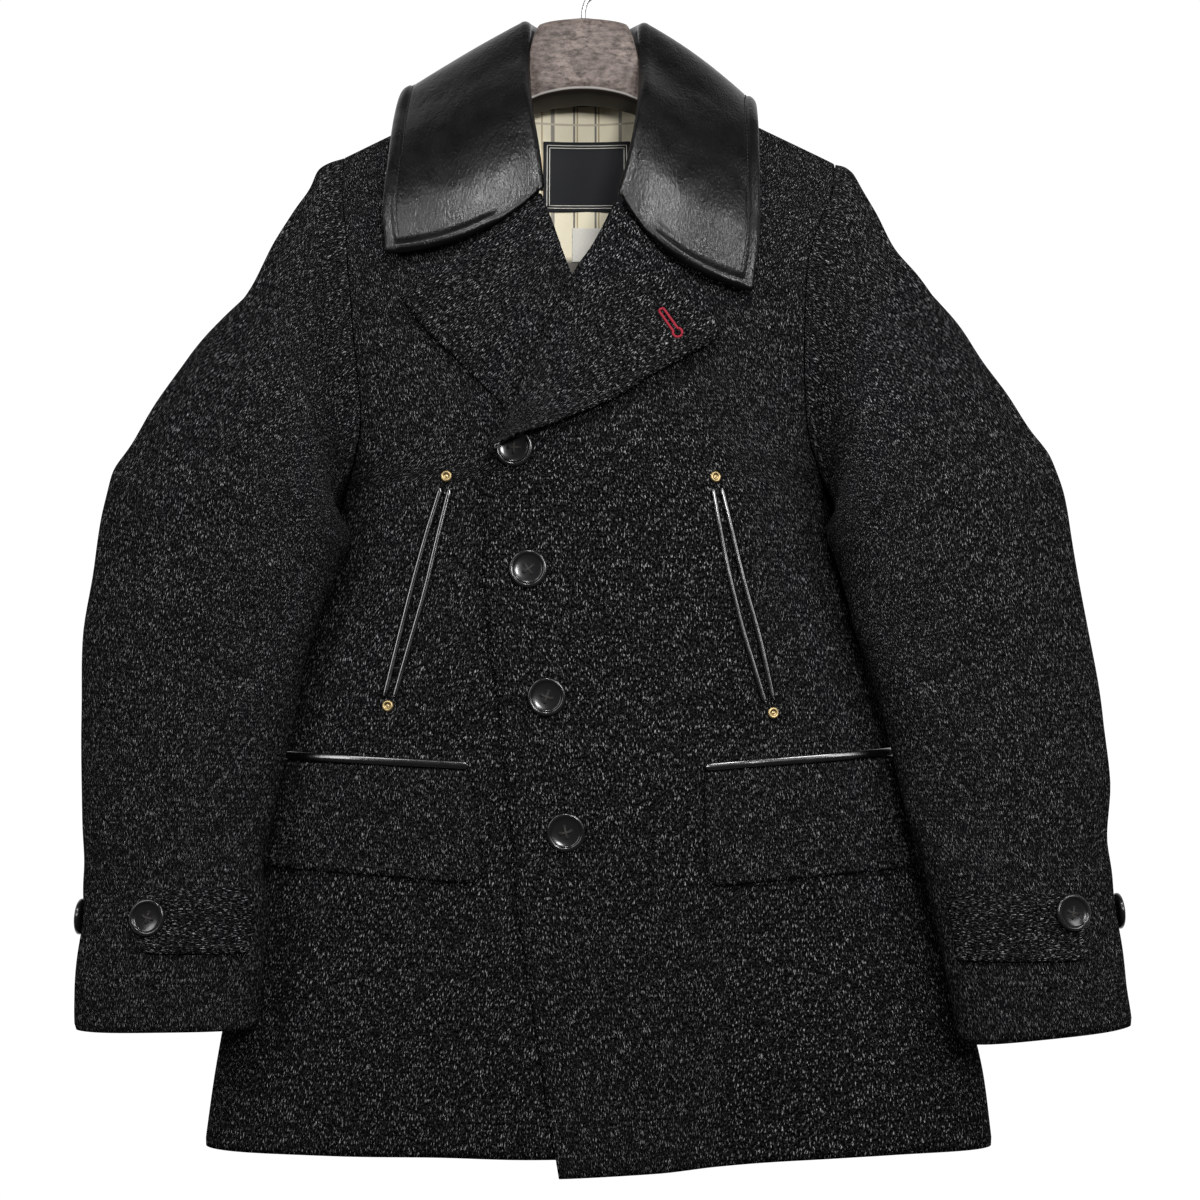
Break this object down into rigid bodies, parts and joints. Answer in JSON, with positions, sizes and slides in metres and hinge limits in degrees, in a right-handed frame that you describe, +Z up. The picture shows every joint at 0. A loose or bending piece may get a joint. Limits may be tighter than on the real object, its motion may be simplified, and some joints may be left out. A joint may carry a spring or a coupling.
{
  "type": "pea coat on a coat hanger",
  "caption": "Wool pea coat with a leather collar and one column of four buttons, buttoned, hanging on a broad-shouldered coat hanger with a wire hook.",
  "frame": {"origin": "inside top of the hanger's hook, where a rail carries it", "axes": "+Z up, the front faces -Y, +X towards the wearer's left"},
  "size_m": [0.7489, 0.1657, 0.935],
  "materials": {
    "tweed": "flecked charcoal wool",
    "leather": "pebbled, semi-gloss",
    "lining": "satin with woven stripes",
    "black_label": "woven",
    "white_label": "woven",
    "button": "polished",
    "brass": "aged",
    "hanger": "brushed grey-brown",
    "hook": "plated wire"
  },
  "bodies": {
    "root": {"front_overlap": "tweed", "front_underlap": "tweed", "back_body": "tweed", "collar": "leather", "back_neck_lining": "lining", "neck_label": "black_label", "care_label": "white_label", "hanger": "hanger", "hanger_hook": "hook", "top_sleeve_right": "tweed", "under_sleeve_right": "tweed", "lapel_right": "tweed", "flap_right": "tweed", "cuff_strap_right": "tweed", "flap_jet_right": "leather", "pocket_lip_outer_right": "leather", "pocket_lip_inner_right": "leather", "rivet_right_1": "brass", "rivet_right_2": "brass", "cuff_button_right_1": "button", "cuff_button_right_2": "button", "top_sleeve_left": "tweed", "under_sleeve_left": "tweed", "lapel_left": "tweed", "flap_left": "tweed", "cuff_strap_left": "tweed", "flap_jet_left": "leather", "pocket_lip_outer_left": "leather", "pocket_lip_inner_left": "leather", "rivet_left_1": "brass", "rivet_left_2": "brass", "cuff_button_left_1": "button", "cuff_button_left_2": "button", "front_button_1": "button", "front_button_2": "button", "front_button_3": "button", "front_button_4": "button"}
  },
  "joints": []
}
